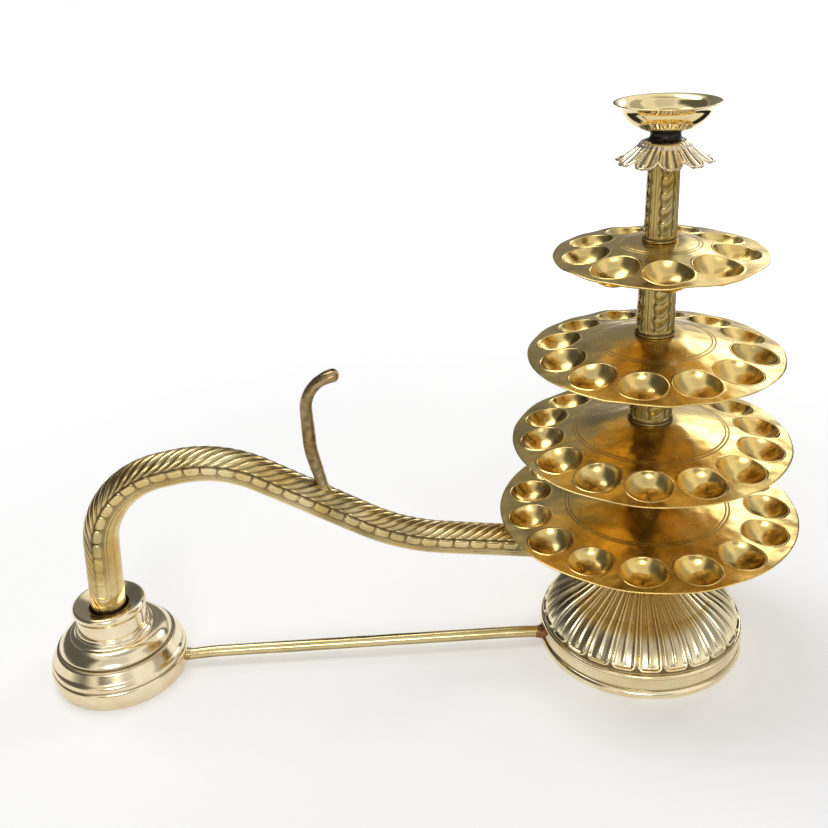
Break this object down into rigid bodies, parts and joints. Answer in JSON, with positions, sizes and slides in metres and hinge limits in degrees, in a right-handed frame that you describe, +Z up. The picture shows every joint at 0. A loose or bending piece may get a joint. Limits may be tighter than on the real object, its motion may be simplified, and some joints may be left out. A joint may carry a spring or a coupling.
{
  "type": "aarti lamp",
  "caption": "Brass aarti lamp: domed plates with pressed wick cups stacked on a column under a flared bowl, and a snake-bodied carrying handle with its own foot.",
  "frame": {"origin": "centre of the bounding box on the floor the two feet stand on", "axes": "+X from the handle's foot to the lamp column, +Y away from the viewer, +Z up along the column"},
  "size_m": [0.5724, 0.216, 0.4111],
  "materials": {
    "plate_brass": "polished sheet, hand burnished",
    "column_brass": "chased, tarnished in the cuts",
    "bowl_brass": "polished",
    "petal_brass": "cast, silvery oxidised",
    "foot_brass": "polished casting, dark in the flutes",
    "handle_brass": "chased scales, tarnished in the cuts",
    "handle_foot_brass": "polished casting",
    "rest_bronze": "rough cast, dark",
    "brazing": "rough braze",
    "copper_brazing": "heat tinted braze",
    "brace_brass": "drawn, lightly scratched",
    "inner_brass": "turned",
    "steel": "zinc plated"
  },
  "bodies": {
    "stand": {"column_sleeve_1": "column_brass", "column_sleeve_2": "column_brass", "column_sleeve_3": "column_brass", "column_sleeve_4": "column_brass", "petal_collar": "petal_brass", "main_foot": "foot_brass", "handle_hub": "foot_brass", "handle": "handle_brass", "handle_foot": "handle_foot_brass", "handle_collar": "handle_foot_brass", "thumb_rest": "rest_bronze", "thumb_rest_brazing": "brazing", "brace_brazing_handle": "brazing", "brace_brazing_lamp": "copper_brazing", "brace_rod": "brace_brass", "sleeve_bushings": "inner_brass", "handle_plug": "inner_brass", "centre_rod": "steel", "foot_nut": "steel", "foot_washer": "steel", "handle_bolt": "steel", "handle_washer": "steel"},
    "tier_1": {"tier_plate_1": "plate_brass"},
    "tier_2": {"tier_plate_2": "plate_brass"},
    "tier_3": {"tier_plate_3": "plate_brass"},
    "tier_4": {"tier_plate_4": "plate_brass"},
    "neck": {"neck_spool": "bowl_brass"},
    "bowl": {"top_bowl": "bowl_brass"}
  },
  "joints": [
    {"name": "tier_1_turn", "type": "hinge", "parent": "stand", "child": "tier_1", "pos_m": [0.1782, 0, 0.323], "axis": [0, 0, 1], "continuous": true},
    {"name": "tier_2_turn", "type": "hinge", "parent": "stand", "child": "tier_2", "pos_m": [0.1782, 0, 0.258], "axis": [0, 0, 1], "continuous": true},
    {"name": "tier_3_turn", "type": "hinge", "parent": "stand", "child": "tier_3", "pos_m": [0.1782, 0, 0.193], "axis": [0, 0, 1], "continuous": true},
    {"name": "tier_4_turn", "type": "hinge", "parent": "stand", "child": "tier_4", "pos_m": [0.1782, 0, 0.128], "axis": [0, 0, 1], "continuous": true},
    {"name": "neck_rise", "type": "slide", "parent": "stand", "child": "neck", "axis": [0, 0, 1], "range_m": [0, 0.005]},
    {"name": "bowl_unscrew", "type": "hinge", "parent": "neck", "child": "bowl", "pos_m": [0.1782, 0, 0.3937], "axis": [0, 0, 1], "range_deg": [0, 1440]}
  ],
  "couplings": [
    {"joint": "neck_rise", "follows": "bowl_unscrew", "m_per_rad": 0.00019894}
  ]
}
